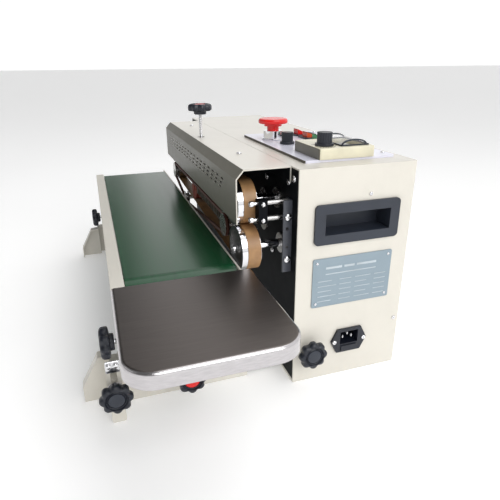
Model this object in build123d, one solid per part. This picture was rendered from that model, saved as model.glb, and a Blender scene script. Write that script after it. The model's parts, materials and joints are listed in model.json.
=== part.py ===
"""Continuous band sealer: a sealing head on a sheet-metal case, with a belt conveyor in front of it.

Millimetres. Every sub-part is drawn in machine coordinates: X = 0 at the case's outfeed end, Y = 0 at the
front of the black mounting plate, Z = 0 on the bench. save() then moves it so that the row's origin is at
the middle of the footprint. +X is the way the bags travel, +Y is to the back, +Z is up.
"""
from build123d import *
from math import acos, atan2, cos, degrees, hypot, pi, radians, sin
import os

# ---- driving dimensions -------------------------------------------------------------------------------
CASE_L, CASE_D, CASE_H = 522.0, 143.5, 263.7
SHEET = 1.6
PLATE_T = 3.0
GAP = 0.3                    # clearance between pieces that move past each other
RUN = 0.05                   # radial clearance of a running fit

HOOD_X0, HOOD_X1 = -465.7, -19.6
HOOD_CHAMFER_Y, HOOD_FLAP_Y = -53.8, -62.3
HOOD_CHAMFER_Z, HOOD_BOTTOM_Z = 254.1, 205.4

SEAL_Z = 194.5               # where the two sealing bands meet
BAND_T, BAND_W = 0.5, 15.0
BAND_Y = -41.5               # middle of the band's width
DRIVE_R, IDLER_R = 24.5, 14.3
UPPER_DRIVE_X, LOWER_DRIVE_X, IDLER_X = -58.0, -44.0, -440.0
FLANGE_Y0, FLANGE_Y1 = -56.0, -49.6
SHAFT_R = 5.0
SHAFT_END_Y = 34.0
GEAR_TEETH = 24

GUIDE_Y = -53.0              # plane of the round guide belts
GUIDE_R = 12.4               # their centre line on a pulley
GUIDE_WIRE = 2.2
GUIDE_X = -100.0
TENSION_X, TENSION_Z, TENSION_R = -345.0, 151.0, 9.0
PRESS_X, PRESS_UPPER_R, PRESS_LOWER_R = -300.0, 15.0, 17.0
HEATER_X0, HEATER_X1 = -412.0, -324.0
COOLER_X0, COOLER_X1 = -275.0, -122.0
BLOCK_Y0, BLOCK_Y1 = -49.5, -33.0
PRESSURE_X, PRESSURE_Y = -260.5, -42.0

BELT_TOP_Z = 160.5
RAIL_Y0, RAIL_Y1 = -197.7, -62.3
RAIL_W = 14.0
CONVEYOR_X0, CONVEYOR_X1 = -534.6, -3.4
BELT_T = 1.5
ROLLER_R = 16.0
OUTFEED_X0, OUTFEED_X1 = -2.8, 146.0
OUTFEED_Y1 = -51.2
OUTFEED_RIM, OUTFEED_R, OUTFEED_T = 15.0, 27.0, 1.5

LEG_Y0 = -242.0
STAND_X = (-34.0, -530.0)
LEG_KNOB_X = (-11.0, -517.0)
LEG_KNOB_Z = (96.0, 78.0)
KNOB_R, STUD_R = 17.5, 3.0
CASE_KNOB = (18.0, 46.0)     # Y and Z of the knob on the case's outfeed end
POST_KNOB = (-205.9, 44.0)   # Y and Z of the knob on the height post
BEAM_KNOB = (-124.0, 37.0)
POST_TOP = 77.0
HEIGHT_TRAVEL = 14.0         # how far the conveyor rises on its stand

PANEL_X0, PANEL_X1, PANEL_Y0, PANEL_Y1, PANEL_T = -240.0, -26.0, 18.0, 131.0, 3.0
PANEL_Z = CASE_H + PANEL_T
CONTROL_X0, CONTROL_X1, CONTROL_Y0, CONTROL_Y1, CONTROL_H = -92.0, -24.0, 34.0, 103.0, 12.0

CENTRE_X = (CONVEYOR_X0 + OUTFEED_X1) / 2
CENTRE_Y = (LEG_Y0 + CASE_D) / 2


# ---- helpers --------------------------------------------------------------------------------------------
def save(name, *shapes):
    """Write one sub-part, as one solid or as a group of separate solids."""
    solids = [solid for shape in shapes for solid in shape.solids()]
    body = solids[0] if len(solids) == 1 else Compound(children=solids)
    export_step(body.moved(Location((-CENTRE_X, -CENTRE_Y, 0))), f"parts/{name}.step")


def block(x0, x1, y0, y1, z0, z1):
    """A box from its six limits."""
    return Pos((x0 + x1) / 2, (y0 + y1) / 2, (z0 + z1) / 2) * Box(x1 - x0, y1 - y0, z1 - z0)


def rod_x(x0, x1, y, z, r):
    """A cylinder along X."""
    return Pos((x0 + x1) / 2, y, z) * Rot(0, 90, 0) * Cylinder(r, x1 - x0)


def rod_y(x, y0, y1, z, r):
    """A cylinder along Y."""
    return Pos(x, (y0 + y1) / 2, z) * Rot(90, 0, 0) * Cylinder(r, y1 - y0)


def rod_z(x, y, z0, z1, r):
    """A cylinder along Z."""
    return Pos(x, y, (z0 + z1) / 2) * Cylinder(r, z1 - z0)


def plate_x(x0, x1, points):
    """A plate that faces X, from its outline in Y and Z."""
    outline = make_face(Plane.YZ.offset(x0) * Polyline(*points, close=True))
    return extrude(outline, x1 - x0, dir=(1, 0, 0))


def plate_y(y0, y1, points):
    """A plate that faces Y, from its outline in X and Z."""
    outline = make_face(Plane.XZ.offset(-y0) * Polyline(*points, close=True))
    return extrude(outline, y1 - y0, dir=(0, 1, 0))


def slot_x(x0, x1, y, z0, z1, width):
    """The tool for an upright slot through a plate that faces X."""
    r = width / 2
    middle = block(x0, x1, y - r, y + r, z0 + r, z1 - r)
    return middle + rod_x(x0, x1, y, z0 + r, r) + rod_x(x0, x1, y, z1 - r, r)


def loop_points(circles):
    """Tangent points of a taut belt round circles (x, z, r), given anticlockwise seen from the front."""
    points = []
    for (xa, za, ra), (xb, zb, rb) in zip(circles, circles[1:] + circles[:1]):
        span = hypot(xb - xa, zb - za)
        angle = atan2(zb - za, xb - xa) - acos((ra - rb) / span)
        points.append(((xa + ra * cos(angle), za + ra * sin(angle)), (xb + rb * cos(angle), zb + rb * sin(angle))))
    return points


def loop_wire(circles, y):
    """The closed path of a taut belt in the plane of that Y."""
    spans = loop_points(circles)
    edges = []
    for index, (start, end) in enumerate(spans):
        edges.append(Line((start[0], y, start[1]), (end[0], y, end[1])))
        x, z, r = circles[(index + 1) % len(circles)]
        following = spans[(index + 1) % len(spans)][0]
        a0 = atan2(end[1] - z, end[0] - x)
        a1 = atan2(following[1] - z, following[0] - x)
        if a1 < a0:
            a1 += 2 * pi
        middle = (a0 + a1) / 2
        via = (x + r * cos(middle), y, z + r * sin(middle))
        edges.append(ThreePointArc((end[0], y, end[1]), via, (following[0], y, following[1])))
    return Wire(edges)


def flat_belt(circles, y0, y1, thickness):
    """A flat belt round circles that give its inner face."""
    outer = [(x, z, r + thickness) for x, z, r in circles]
    ring = make_face(loop_wire(outer, y0)) - make_face(loop_wire(circles, y0))
    return extrude(ring, y1 - y0, dir=(0, 1, 0))


def round_belt(circles, y, r):
    """A round belt, from the circles of its centre line."""
    path = loop_wire(circles, y)
    section = Plane(origin=path @ 0, z_dir=path % 0) * Circle(r)
    return sweep(section, path=path)


def star_knob(height=15.0, stud=20.0, stud_r=3.0):
    """A lobed knob with its face on +Z, its back at Z = 0 and its stud along -Z."""
    lobes = 8
    head = Pos(0, 0, 5 + (height - 5) / 2) * Cylinder(KNOB_R, height - 5)
    for index in range(lobes):
        angle = 2 * pi * (index + 0.5) / lobes
        head -= Pos((KNOB_R + 1.8) * cos(angle), (KNOB_R + 1.8) * sin(angle), height / 2) * Cylinder(4.2, height)
    head = chamfer(head.edges().group_by(Axis.Z)[-1], 0.8)
    hub = Pos(0, 0, 2.6) * Cylinder(9.0, 5.2)
    return head + hub + Pos(0, 0, -stud / 2 + 0.1) * Cylinder(stud_r, stud)


def pan_screw(r=3.2, height=2.2):
    """A domed screw head standing on Z = 0, with a cross recess."""
    head = Pos(0, 0, height / 2) * Cylinder(r, height)
    head = fillet(head.edges().group_by(Axis.Z)[-1], height * 0.6)
    for turn in (0, 90):
        head -= Pos(0, 0, height) * Rot(0, 0, turn) * Box(r, 0.7, height * 0.8)
    return head


# ---- case and covers ------------------------------------------------------------------------------------
def case_shell():
    """Folded cover: two ends, top and back, open at the front and bottom."""
    outer = block(-CASE_L, 0, 0, CASE_D, 0, CASE_H)
    outer = fillet(outer.edges().filter_by(Axis.Z).group_by(Axis.Y)[-1], 2.0)
    shell = outer - block(-CASE_L + SHEET, -SHEET, -1, CASE_D - SHEET, -1, CASE_H - SHEET)
    for x in (-CASE_L, -SHEET):
        shell -= block(x - 1, x + SHEET + 1, 27, 119, 183, 219)
    shell -= block(-SHEET - 1, 1, 57.6, 87.6, 32, 64)
    shell -= rod_x(-SHEET - 1, 1, *CASE_KNOB, STUD_R + GAP)
    shell -= block(CONTROL_X0 + 6, CONTROL_X1 - 6, CONTROL_Y0 + 6, CONTROL_Y1 - 6, CASE_H - 4, CASE_H + 1)
    shell -= block(-222, -122, 72, 122, CASE_H - 4, CASE_H + 1)
    shell -= block(-198, -124, 26, 58, CASE_H - 4, CASE_H + 1)
    for bank_x in (-430.0, -130.0):
        for row in range(8):
            z = 80.0 + row * 12.0
            shell -= block(bank_x - 32, bank_x + 32, CASE_D - 5, CASE_D + 1, z, z + 4)
    return shell


def mounting_plate():
    """Black front plate that carries the sealing head."""
    plate = block(-CASE_L + SHEET + 0.1, -SHEET - 0.1, 0, PLATE_T, 4, CASE_H - SHEET - 0.1)
    for x, z in shaft_places():
        plate -= rod_y(x, -1, PLATE_T + 1, z, SHAFT_R + 5)
    return plate


def base_plate():
    """Flat bottom of the case, with its front lip."""
    plate = block(-CASE_L + SHEET + 0.1, -SHEET - 0.1, PLATE_T + 0.1, CASE_D - SHEET - 0.1, 0, 3)
    return plate + block(-CASE_L + SHEET + 0.1, -SHEET - 0.1, 0, PLATE_T + 0.1, 0, 3.9)


def hood():
    """Folded cover over the sealing head, with three rows of vents in its flap."""
    t = 1.5
    profile = [(-0.3, 246), (-0.3, CASE_H), (HOOD_CHAMFER_Y, CASE_H), (HOOD_FLAP_Y, HOOD_CHAMFER_Z),
               (HOOD_FLAP_Y, HOOD_BOTTOM_Z), (HOOD_FLAP_Y + t, HOOD_BOTTOM_Z),
               (HOOD_FLAP_Y + t, HOOD_CHAMFER_Z - 0.6), (HOOD_CHAMFER_Y + 0.6, CASE_H - t),
               (-0.3 - t, CASE_H - t), (-0.3 - t, 246)]
    cover = plate_x(HOOD_X0, HOOD_X1, profile)
    for row, z in enumerate((244.0, 238.5, 233.0)):
        for column in range(17):
            x = HOOD_X1 - 55 - column * 21.0 - row * 5.0
            cover -= block(x - 6.5, x + 6.5, HOOD_FLAP_Y - 1, HOOD_FLAP_Y + t + 1, z - 1.1, z + 1.1)
    cover -= rod_z(PRESSURE_X, PRESSURE_Y, CASE_H - 5, CASE_H + 1, 5.0)
    return cover


def shaft_places():
    """Centres, in X and Z, of the shafts that pass through the mounting plate."""
    return [(UPPER_DRIVE_X, UPPER_DRIVE_Z), (LOWER_DRIVE_X, LOWER_DRIVE_Z),
            (IDLER_X, UPPER_IDLER_Z), (IDLER_X, LOWER_IDLER_Z),
            (GUIDE_X, UPPER_GUIDE_Z), (GUIDE_X, LOWER_GUIDE_Z),
            (TENSION_X, TENSION_Z), (PRESS_X, LOWER_PRESS_Z)]


BAND_GAP = 0.2
UPPER_DRIVE_Z = SEAL_Z + BAND_GAP + BAND_T + GAP + DRIVE_R
LOWER_DRIVE_Z = SEAL_Z - BAND_GAP - BAND_T - GAP - DRIVE_R
UPPER_IDLER_Z = SEAL_Z + BAND_GAP + BAND_T + GAP + IDLER_R
LOWER_IDLER_Z = SEAL_Z - BAND_GAP - BAND_T - GAP - IDLER_R
UPPER_GUIDE_Z = UPPER_IDLER_Z
LOWER_GUIDE_Z = LOWER_IDLER_Z
LOWER_PRESS_Z = SEAL_Z - BAND_GAP - BAND_T - GAP - PRESS_LOWER_R
UPPER_PRESS_Z = SEAL_Z + BAND_GAP + BAND_T + GAP + PRESS_UPPER_R


# ---- sealing head -----------------------------------------------------------------------------------------
def band_wheel(x, z, r, flange_r):
    """Wheel for a sealing band, with its front flange and its shaft."""
    wheel = rod_y(x, BAND_Y - BAND_W / 2 - 0.6, BAND_Y + BAND_W / 2 + 0.6, z, r)
    flange = rod_y(x, FLANGE_Y0, FLANGE_Y1, z, flange_r)
    flange -= rod_y(x, FLANGE_Y0 - 1, FLANGE_Y0 + 2.5, z, flange_r - 4)
    boss = rod_y(x, FLANGE_Y0 + 0.2, FLANGE_Y0 + 3, z, 6.0)
    shaft = rod_y(x, FLANGE_Y0 + 2, SHAFT_END_Y, z, SHAFT_R)
    return wheel + flange + boss + shaft


def grooved_pulley(x, z, centre_r):
    """Pulley with a round groove that stays clear of the guide belt."""
    rim = rod_y(x, GUIDE_Y - 3.0, GUIDE_Y + 3.2, z, centre_r + 1.6)
    groove = Pos(x, GUIDE_Y, z) * Rot(90, 0, 0) * Torus(centre_r, GUIDE_WIRE + GAP)
    outside = rod_y(x, GUIDE_Y - GUIDE_WIRE - GAP, GUIDE_Y + GUIDE_WIRE + GAP, z, centre_r + 5)
    outside -= rod_y(x, GUIDE_Y - 4, GUIDE_Y + 4, z, centre_r)
    return rim - groove - outside


def idler_wheel(z):
    """Infeed band wheel with the guide-belt groove in front of it."""
    wheel = rod_y(IDLER_X, BAND_Y - BAND_W / 2 - 0.6, BAND_Y + BAND_W / 2 + 0.6, z, IDLER_R)
    shaft = rod_y(IDLER_X, GUIDE_Y - 2, SHAFT_END_Y, z, SHAFT_R)
    return grooved_pulley(IDLER_X, z, GUIDE_R) + wheel + shaft


def guide_pulley(x, z, centre_r):
    """Small pulley on its own shaft."""
    return grooved_pulley(x, z, centre_r) + rod_y(x, GUIDE_Y, PLATE_T + 8, z, 4.0)


def spur_gear(x, z, turn):
    """Timing gear behind the plate; the two mesh at the shaft distance."""
    teeth = GEAR_TEETH
    distance = hypot(UPPER_DRIVE_X - LOWER_DRIVE_X, UPPER_DRIVE_Z - LOWER_DRIVE_Z)
    module = distance / teeth
    root_r, tip_r = distance / 2 - 1.3 * module, distance / 2 + 0.8 * module
    pitch = 2 * pi / teeth
    outline = []
    for index in range(teeth):
        middle = radians(turn) + index * pitch
        for share, radius in ((-0.29, root_r), (-0.12, tip_r), (0.12, tip_r), (0.29, root_r)):
            angle = middle + share * pitch
            outline.append((x + radius * cos(angle), z + radius * sin(angle)))
    return plate_y(14, 24, outline) - rod_y(x, 10, 30, z, SHAFT_R)


def sealing_bands():
    """Upper and lower bands round their drive and idler wheels."""
    y0, y1 = BAND_Y - BAND_W / 2, BAND_Y + BAND_W / 2
    upper = [(IDLER_X, UPPER_IDLER_Z, IDLER_R + GAP), (UPPER_DRIVE_X, UPPER_DRIVE_Z, DRIVE_R + GAP)]
    lower = [(IDLER_X, LOWER_IDLER_Z, IDLER_R + GAP), (LOWER_DRIVE_X, LOWER_DRIVE_Z, DRIVE_R + GAP)]
    return flat_belt(upper, y0, y1, BAND_T), flat_belt(lower, y0, y1, BAND_T)


def guide_belts():
    """Round belts that carry the bag's mouth through the head."""
    upper = [(IDLER_X, UPPER_GUIDE_Z, GUIDE_R), (GUIDE_X, UPPER_GUIDE_Z, GUIDE_R)]
    lower = [(IDLER_X, LOWER_GUIDE_Z, GUIDE_R), (TENSION_X, TENSION_Z, TENSION_R),
             (GUIDE_X, LOWER_GUIDE_Z, GUIDE_R)]
    return round_belt(upper, GUIDE_Y, GUIDE_WIRE), round_belt(lower, GUIDE_Y, GUIDE_WIRE)


def heater_block(z0, z1):
    """Metal bar with two cartridge-heater bores."""
    bar = block(HEATER_X0, HEATER_X1, BLOCK_Y0, BLOCK_Y1, z0, z1)
    return bar - rod_x(HEATER_X0 - 1, HEATER_X1 + 1, (BLOCK_Y0 + BLOCK_Y1) / 2, (z0 + z1) / 2, 2.6)


def cooler_block(z0, z1, cut_z0, cut_z1):
    """Aluminium bar with cooling fins on the side away from the seal."""
    bar = block(COOLER_X0, COOLER_X1, BLOCK_Y0, BLOCK_Y1, z0, z1)
    fins = 17
    pitch = (COOLER_X1 - COOLER_X0) / fins
    for index in range(1, fins):
        x = COOLER_X0 + index * pitch
        bar -= block(x - 2.2, x + 2.2, BLOCK_Y0 - 1, BLOCK_Y1 + 1, cut_z0, cut_z1)
    return bar


def block_posts():
    """Posts that carry the heaters and coolers, and the spacer block beside the drive wheels."""
    posts = []
    for z in (HEATER_UPPER[0] + 7, (HEATER_LOWER[0] + HEATER_LOWER[1]) / 2):
        for x in (HEATER_X0 + 14, HEATER_X1 - 14):
            posts.append(rod_y(x, BLOCK_Y1, 0, z, 3.5))
    for z in (COOLER_UPPER[0] + 4, COOLER_LOWER[1] - 4):
        for x in (COOLER_X0 + 20, COOLER_X1 - 20):
            posts.append(rod_y(x, BLOCK_Y1, 0, z, 3.0))
    posts.append(block(-31, -19, -37, -27, 203, 229))
    for z in SPACER_POST_Z:
        posts.append(rod_y(-25, -27, 0, z, 3.0))
        posts.append(rod_y(-25, -42, -37, z, 2.2))
    return posts


HEATER_UPPER = (SEAL_Z + BAND_GAP + BAND_T + 0.3, 210.0)
HEATER_LOWER = (184.0, SEAL_Z - BAND_GAP - BAND_T - 0.3)
COOLER_UPPER = (SEAL_Z + BAND_GAP + BAND_T + 0.3, 213.0)
COOLER_LOWER = (175.0, SEAL_Z - BAND_GAP - BAND_T - 0.3)
SPACER_POST_Z = (207.0, 225.0)


def shaft_bearings():
    """Flanged bushes pressed into the mounting plate."""
    bushes = []
    for x, z in shaft_places():
        inner = 4.0 if x in (GUIDE_X, TENSION_X) else SHAFT_R
        bush = rod_y(x, 0, PLATE_T + 5, z, SHAFT_R + 5) + rod_y(x, -2.5, 0, z, SHAFT_R + 7)
        bushes.append(bush - rod_y(x, -9, PLATE_T + 9, z, inner + RUN))
    return bushes


def press_wheel(z, r):
    """Pressure roller, without its axle."""
    return rod_y(PRESS_X, BAND_Y - 7, BAND_Y + 7, z, r)


def press_carriage():
    """Sliding fork that holds the upper pressure roller under its spring."""
    arm = block(PRESS_X - 7, PRESS_X + 7, -33.5, -27.5, UPPER_PRESS_Z - 7, 246)
    shelf = block(PRESS_X - 7, PRESSURE_X + 8, -50, -27.5, 240, 246)
    shelf -= rod_z(PRESSURE_X, PRESSURE_Y, 239, 247, 3.4)
    return arm + shelf


def pressure_spring():
    """Compression spring between the carriage and the pressure knob's stem."""
    helix = Helix(pitch=2.9, height=11.6, radius=5.4, center=(PRESSURE_X, PRESSURE_Y, 247.1))
    section = Plane(origin=helix @ 0, z_dir=helix % 0) * Circle(0.7)
    return sweep(section, path=helix)


def pressure_knob():
    """Star knob on a long threaded stem through the hood."""
    knob = Pos(PRESSURE_X, PRESSURE_Y, 297.0) * star_knob(height=14.0, stud=46.0, stud_r=2.4)
    return knob + rod_z(PRESSURE_X, PRESSURE_Y, 259.9, 261.5, 6.4)


# ---- drive ----------------------------------------------------------------------------------------------------
def gear_motor():
    """Geared motor on the base plate."""
    gearbox = block(-210, -140, 45, 105, 3, 75)
    motor = rod_x(-310, -210, 75, 42, 30)
    return gearbox + motor + rod_y(-175, 30, 45, 50, 6)


def circuit_board():
    """Speed-control board on the case floor."""
    board = block(-420, -330, 40, 110, 12, 13.6)
    for x in (-412, -338):
        for y in (47, 103):
            board += rod_z(x, y, 3, 12, 3)
    board += block(-405, -385, 60, 90, 13.6, 32)
    return board + block(-370, -345, 55, 95, 13.6, 24)


# ---- controls -------------------------------------------------------------------------------------------------
ESTOP = (-183.0, 42.0)
SPEED = (-139.0, 45.0)
DIAL = (-43.0, 49.0)
METER = (-84.0, -32.0, 65.0, 97.0)
ROCKERS = {"rocker_red": -206.0, "rocker_amber": -175.0, "rocker_green": -144.0}
ROCKER_Y = 98.0


def control_panel():
    """Raised plate that carries the controls."""
    plate = block(PANEL_X0, PANEL_X1, PANEL_Y0, PANEL_Y1, CASE_H, PANEL_Z)
    plate = fillet(plate.edges().filter_by(Axis.Z), 3.0)
    plate -= rod_z(*ESTOP, CASE_H - 1, PANEL_Z + 1, 11.0)
    plate -= rod_z(*SPEED, CASE_H - 1, PANEL_Z + 1, 4.0)
    for x in ROCKERS.values():
        plate -= block(x - 10, x + 10, ROCKER_Y - 14, ROCKER_Y + 14, CASE_H - 1, PANEL_Z + 1)
    for x in (-222.0, -40.0):
        plate -= rod_z(x, 124, CASE_H - 1, PANEL_Z + 1, 1.7)
    return plate


def emergency_collar():
    """Chrome ring and barrel of the emergency stop."""
    ring = rod_z(*ESTOP, PANEL_Z, PANEL_Z + 12, 13.0) + rod_z(*ESTOP, 236, PANEL_Z, 10.9)
    return ring - rod_z(*ESTOP, 235, PANEL_Z + 13, 8.3)


def emergency_button():
    """Mushroom head and plunger of the emergency stop."""
    base = PANEL_Z + 18
    head = rod_z(*ESTOP, base + 3.5, base + 10, 20.0)
    head = fillet(head.edges().group_by(Axis.Z)[-1], 3.2)
    head = fillet(head.edges().group_by(Axis.Z)[0], 1.8)
    return head + rod_z(*ESTOP, base, base + 5, 12.0) + rod_z(*ESTOP, 245, base + 1, 8.0)


def control_knob(place, z0, r, height, spindle_z0):
    """Knurled knob with a base flange, an indicator groove and its spindle."""
    x, y = place
    knob = rod_z(x, y, z0 + 0.4, z0 + 3, r + 2) + rod_z(x, y, z0 + 3, z0 + height, r)
    for index in range(18):
        angle = 2 * pi * index / 18
        knob -= rod_z(x + (r + 0.3) * cos(angle), y + (r + 0.3) * sin(angle), z0 + 4, z0 + height + 1, 0.7)
    knob -= block(x - 0.6, x + 0.6, y - r - 1, y - r / 3, z0 + height - 1, z0 + height + 1)
    return knob + rod_z(x, y, spindle_z0, z0 + 1, 3.0)


def controller_housing():
    """Square temperature controller with a meter recess."""
    z1 = PANEL_Z + CONTROL_H
    body = block(CONTROL_X0, CONTROL_X1, CONTROL_Y0, CONTROL_Y1, PANEL_Z, z1)
    body = fillet(body.edges().filter_by(Axis.Z), 3.0)
    body = fillet(body.edges().group_by(Axis.Z)[-1], 1.2)
    body -= block(METER[0], METER[1], METER[2], METER[3], z1 - 5, z1 + 1)
    return body - rod_z(*DIAL, PANEL_Z - 1, z1 + 1, 3.2)


def meter_glass():
    """Clear cover that stands a little proud of the controller."""
    z1 = PANEL_Z + CONTROL_H
    window = block(METER[0] + 0.2, METER[1] - 0.2, METER[2] + 0.2, METER[3] - 0.2, z1 - 1.4, z1 + 3)
    window = fillet(window.edges().group_by(Axis.Z)[-1], 2.0)
    inside = block(METER[0] + 1.4, METER[1] - 1.4, METER[2] + 1.4, METER[3] - 1.4, z1 - 2, z1 + 1.8)
    return window - inside


def meter_needle():
    """Needle over the meter's scale, on its pivot."""
    z = PANEL_Z + CONTROL_H - 4.4
    x = (METER[0] + METER[1]) / 2
    return rod_z(x, METER[2] + 5, z - 0.3, z + 1.2, 2.0) + block(x - 0.5, x + 0.5, METER[2] + 5, METER[3] - 4, z, z + 0.8)


def rocker_bezels():
    """Frames of the three rocker switches."""
    frames = []
    for x in ROCKERS.values():
        frame = block(x - 12, x + 12, ROCKER_Y - 16, ROCKER_Y + 16, PANEL_Z, PANEL_Z + 2)
        frame += block(x - 9.9, x + 9.9, ROCKER_Y - 13.9, ROCKER_Y + 13.9, 248, PANEL_Z)
        frames.append(frame - block(x - 8.5, x + 8.5, ROCKER_Y - 12.5, ROCKER_Y + 12.5, 250, PANEL_Z + 3))
    return frames


def rocker(x):
    """Two-way rocker, tilted about its pivot along X."""
    z = PANEL_Z
    paddle = [(ROCKER_Y - 11.2, z - 4), (ROCKER_Y - 11.2, z + 9.0), (ROCKER_Y, z + 4.0),
              (ROCKER_Y + 11.2, z + 1.5), (ROCKER_Y + 11.2, z - 4), (ROCKER_Y, z - 9)]
    return plate_x(x - 7.9, x + 7.9, paddle)


# ---- case fittings ------------------------------------------------------------------------------------------------
def carry_handle(end):
    """Flush pocket handle for one end of the case; end is +1 at the outfeed and -1 at the infeed."""
    flange = block(0, 3.0, 19.5, 125, 178, 224)
    flange = fillet(flange.edges().filter_by(Axis.X), 5.0)
    cup = block(-26, 0, 27.3, 118.7, 183.3, 218.7)
    handle = flange + cup - block(-24, 4, 32, 113, 189, 213)
    return handle if end > 0 else Pos(-CASE_L, 0, 0) * handle.mirror(Plane.YZ)


def power_inlet():
    """Mains inlet flange, socket and pins, with the fuse drawer's bay below."""
    y, z = 72.6, 48.0
    outline = [(y - 24, z), (y - 16, z + 16), (y + 16, z + 16), (y + 24, z), (y + 16, z - 16), (y - 16, z - 16)]
    inlet = plate_x(0, 3, outline) + block(-22, 0, y - 14.8, y + 14.8, z - 15.8, z + 15.8)
    inlet -= block(-18, 4, y - 12, y + 12, z - 4.5, z + 12.5)
    inlet -= block(-16, 4, y - 10, y + 10, z - 14, z - 7)
    for side in (-1, 1):
        inlet -= rod_x(-1, 4, y + side * 20, z, 1.7)
    for offset, height in ((-6, 2.5), (0, 6.5), (6, 2.5)):
        inlet += block(-18.5, -2, y + offset - 1, y + offset + 1, z + height - 2, z + height + 2)
    return inlet


def fuse_drawer():
    """Small drawer that holds the fuse."""
    y, z = 72.6, 48.0
    drawer = block(-15.6, 3.1, y - 9.6, y + 9.6, z - 13.6, z - 7.4)
    return drawer + block(3.1, 4.4, y - 10.5, y + 10.5, z - 14.2, z - 6.8)


def side_bracket():
    """Angle strip on the mounting plate, beside the outfeed end."""
    strip = block(-17, -15, -10.4, 0, 144, 228) + block(-30, -15, -2, 0, 144, 228)
    for z in (174.5, 195.7):
        strip -= rod_x(-18, -14, -5.4, z, 1.9)
    for z in SPACER_POST_Z:
        strip -= rod_y(-25, -3, 1, z, 3.0 + RUN)
    return strip


def cover_screws():
    """Pan-head screws of the hood, panel, bracket, inlet and data plate."""
    screws = [Pos(x, y, CASE_H) * pan_screw() for x, y in ((-394, -28), (-107, -31))]
    screws += [Pos(x, 124, PANEL_Z) * pan_screw(2.6, 1.6) for x in (-222.0, -40.0)]
    screws += [Pos(-15, -5, z) * Rot(0, 90, 0) * pan_screw(4.2, 2.6) for z in (159.8, 209.4)]
    screws += [Pos(3, 72.6 + side * 20, 48) * Rot(0, 90, 0) * pan_screw(2.8, 1.6) for side in (-1, 1)]
    screws += [Pos(1.2, y, z) * Rot(0, 90, 0) * pan_screw(1.6, 1.0) for y in (25, 117) for z in (105, 156)]
    screws += [Pos(0, 141.0 - 5, 66) * Rot(0, 90, 0) * pan_screw(2.6, 1.6)]
    screws += [Pos(0, 87, 231) * Rot(0, 90, 0) * pan_screw(2.2, 1.4)]
    return screws


def data_plate():
    """Blank rating plate on the outfeed end."""
    plate = block(0, 1.2, 20, 122, 100, 161)
    return fillet(plate.edges().filter_by(Axis.X), 2.0)


# ---- conveyor -----------------------------------------------------------------------------------------------------
def conveyor_frame():
    """Folded side rails joined by the belt's bed."""
    z1, z0 = BELT_TOP_Z, 122.0
    x1 = CONVEYOR_X1
    front = block(CONVEYOR_X0, x1, RAIL_Y0, RAIL_Y0 + RAIL_W, z1 - 2, z1)
    front += block(CONVEYOR_X0, x1, RAIL_Y0, RAIL_Y0 + 2, z0, z1)
    front += block(CONVEYOR_X0, x1, RAIL_Y0 + RAIL_W - 2, RAIL_Y0 + RAIL_W, z0, z1)
    rear = block(CONVEYOR_X0, x1, RAIL_Y1 - 2, RAIL_Y1, z0, z1)
    bed = block(CONVEYOR_X0 + 45, x1 - 45, RAIL_Y0 + RAIL_W - 1, RAIL_Y1 - 1, z1 - 5.5, z1 - 3.5)
    frame = front + rear + bed
    for x in ROLLER_X:
        frame -= rod_y(x, RAIL_Y0 - 1, RAIL_Y1 + 1, ROLLER_Z, 4 + RUN)
    frame += block(x1 - 4, 40, RAIL_Y0 + 4, RAIL_Y0 + 12, z1 - 12, z1 - OUTFEED_T)
    frame += block(x1 - 1, 40, RAIL_Y1 - 12, RAIL_Y1, z1 - 12, z1 - OUTFEED_T)
    frame += block(x1 - 4, x1 - 2, RAIL_Y0 + 1, RAIL_Y1 - 1, z0 + 1, z0 + 6)
    for x, z in zip(LEG_KNOB_X, LEG_KNOB_Z):
        skirt = block(x - 12, x + 11, RAIL_Y0, RAIL_Y0 + 2, 59.5, z0 + 1)
        frame += skirt - rod_y(x, RAIL_Y0 - 1, RAIL_Y0 + 3, z, STUD_R + GAP)
    return frame


ROLLER_Z = BELT_TOP_Z - BELT_T - GAP - ROLLER_R
ROLLER_X = (CONVEYOR_X0 + BELT_T + GAP + ROLLER_R, CONVEYOR_X1 - BELT_T - GAP - ROLLER_R - 1.5)


def conveyor_belt():
    """Green belt round its two rollers, between the rails."""
    circles = [(x, ROLLER_Z, ROLLER_R + GAP) for x in ROLLER_X]
    return flat_belt(circles, RAIL_Y0 + RAIL_W + 0.6, RAIL_Y1 - 2.6, BELT_T)


def belt_roller(x):
    """Conveyor roller with its journals."""
    return rod_y(x, RAIL_Y0 + RAIL_W + 1.5, RAIL_Y1 - 3.5, ROLLER_Z, ROLLER_R) + rod_y(
        x, RAIL_Y0 + 0.5, RAIL_Y1 + 0.4, ROLLER_Z, 4.0)


def outfeed_plate():
    """Drawn steel plate with a rounded, turned-down rim."""
    def slab(inset, z0, z1):
        y0, y1 = RAIL_Y0 + inset, OUTFEED_Y1 - inset
        body = block(OUTFEED_X0, OUTFEED_X1 - inset, y0, y1, z0, z1)
        return fillet(body.edges().filter_by(Axis.Z).group_by(Axis.X)[-1], OUTFEED_R - inset)
    plate = slab(0, BELT_TOP_Z - OUTFEED_RIM, BELT_TOP_Z)
    plate = fillet(plate.edges().group_by(Axis.Z)[-1].sort_by(Axis.X)[1:], 3.5)
    return plate - slab(OUTFEED_T, BELT_TOP_Z - OUTFEED_RIM - 1, BELT_TOP_Z - OUTFEED_T) - block(
        OUTFEED_X0 - 1, 4, OUTFEED_Y1 - 10, OUTFEED_Y1 + 1, 0, BELT_TOP_Z - OUTFEED_T)


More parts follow.
